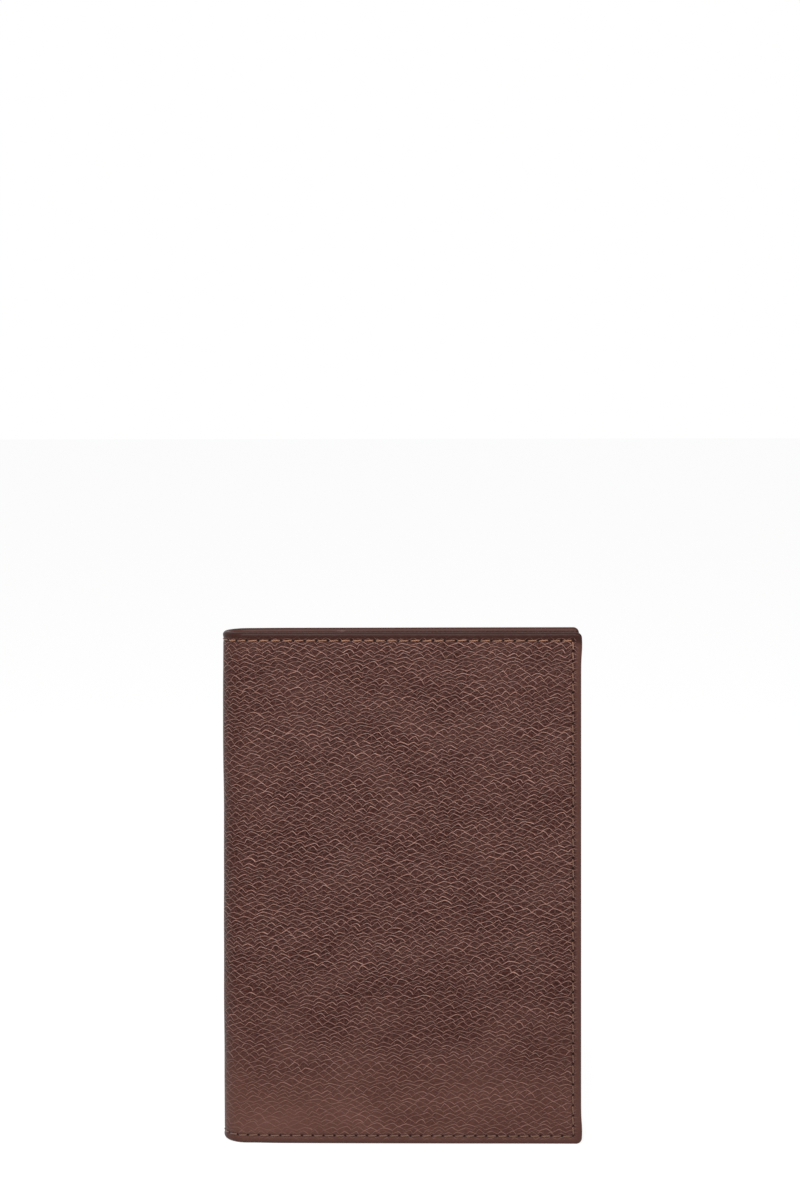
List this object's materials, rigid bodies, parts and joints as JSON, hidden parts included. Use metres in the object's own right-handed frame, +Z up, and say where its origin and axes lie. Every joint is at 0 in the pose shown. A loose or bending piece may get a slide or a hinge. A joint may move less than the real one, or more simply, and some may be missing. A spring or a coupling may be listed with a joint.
{
  "type": "passport holder",
  "caption": "Bifold leather passport cover standing slightly open, with a soft rolled spine, turned stitched edges, a passport sleeve and a panel of card slots inside.",
  "frame": {"origin": "under the middle of the closed holder, on the surface that its lower edges stand on", "axes": "+Z up the height of the covers, +X from the spine to the fore-edge, the front cover faces -Y"},
  "size_m": [0.1, 0.016, 0.143],
  "materials": {
    "cover_leather": "pebble-grained full-grain leather, satin",
    "inner_leather": "smooth thin leather, satin",
    "lining_cloth": "plain woven cloth",
    "stiffener_board": "bonded leather board",
    "thread": "twisted polyester thread"
  },
  "bodies": {
    "back_cover": {"back_cover_leather": "cover_leather", "back_cover_board": "stiffener_board", "back_cover_lining": "lining_cloth", "back_lower_stitching": "thread", "back_upper_stitching": "thread", "back_fore_edge_stitching": "thread", "back_inner_stitching": "thread", "passport_sleeve": "inner_leather", "passport_sleeve_lining": "lining_cloth"},
    "spine_1": {"spine_leather_1": "cover_leather", "spine_lining_1": "lining_cloth", "spine_stitching_1": "thread"},
    "spine_2": {"spine_leather_2": "cover_leather", "spine_lining_2": "lining_cloth", "spine_stitching_2": "thread"},
    "spine_3": {"spine_leather_3": "cover_leather", "spine_lining_3": "lining_cloth", "spine_stitching_3": "thread"},
    "spine_4": {"spine_leather_4": "cover_leather", "spine_lining_4": "lining_cloth", "spine_stitching_4": "thread"},
    "spine_5": {"spine_leather_5": "cover_leather", "spine_lining_5": "lining_cloth", "spine_stitching_5": "thread"},
    "spine_6": {"spine_leather_6": "cover_leather", "spine_lining_6": "lining_cloth", "spine_stitching_6": "thread"},
    "spine_7": {"spine_leather_7": "cover_leather", "spine_lining_7": "lining_cloth", "spine_stitching_7": "thread"},
    "front_cover": {"front_cover_leather": "cover_leather", "front_cover_board": "stiffener_board", "front_cover_lining": "lining_cloth", "front_lower_stitching": "thread", "front_upper_stitching": "thread", "front_fore_edge_stitching": "thread", "front_inner_stitching": "thread", "card_panel_backing": "lining_cloth", "card_panel_top": "inner_leather", "card_slot_1": "inner_leather", "card_slot_2": "inner_leather", "card_slot_3": "inner_leather", "card_pocket_lining_1": "lining_cloth", "card_pocket_lining_2": "lining_cloth"}
  },
  "joints": [
    {"name": "front_cover_fold", "type": "hinge", "parent": "spine_4", "child": "front_cover", "pos_m": [-0.04898, -0.00475, 0.0715], "axis": [0, 0, -1], "range_deg": [-0.6, 89.4]},
    {"name": "spine_5_fold", "type": "hinge", "parent": "spine_4", "child": "spine_5", "pos_m": [-0.0498, -0.00155, 0.0715], "axis": [0, 0, -1], "range_deg": [-0.2, 29.8]},
    {"name": "spine_6_fold", "type": "hinge", "parent": "spine_5", "child": "spine_6", "pos_m": [-0.04846, -0.00434, 0.0715], "axis": [0, 0, -1], "range_deg": [-0.2, 29.8]},
    {"name": "spine_7_fold", "type": "hinge", "parent": "spine_6", "child": "spine_7", "pos_m": [-0.04605, -0.00628, 0.0715], "axis": [0, 0, -1], "range_deg": [-0.2, 29.8]},
    {"name": "back_cover_fold", "type": "hinge", "parent": "spine_4", "child": "back_cover", "pos_m": [-0.04898, 0.00475, 0.0715], "axis": [0, 0, 1], "range_deg": [-0.6, 89.4]},
    {"name": "spine_3_fold", "type": "hinge", "parent": "spine_4", "child": "spine_3", "pos_m": [-0.0498, 0.00155, 0.0715], "axis": [0, 0, 1], "range_deg": [-0.2, 29.8]},
    {"name": "spine_2_fold", "type": "hinge", "parent": "spine_3", "child": "spine_2", "pos_m": [-0.04846, 0.00434, 0.0715], "axis": [0, 0, 1], "range_deg": [-0.2, 29.8]},
    {"name": "spine_1_fold", "type": "hinge", "parent": "spine_2", "child": "spine_1", "pos_m": [-0.04605, 0.00628, 0.0715], "axis": [0, 0, 1], "range_deg": [-0.2, 29.8]}
  ],
  "couplings": [
    {"joint": "spine_5_fold", "follows": "front_cover_fold", "ratio": 0.33333},
    {"joint": "spine_6_fold", "follows": "front_cover_fold", "ratio": 0.33333},
    {"joint": "spine_7_fold", "follows": "front_cover_fold", "ratio": 0.33333},
    {"joint": "spine_3_fold", "follows": "back_cover_fold", "ratio": 0.33333},
    {"joint": "spine_2_fold", "follows": "back_cover_fold", "ratio": 0.33333},
    {"joint": "spine_1_fold", "follows": "back_cover_fold", "ratio": 0.33333}
  ]
}
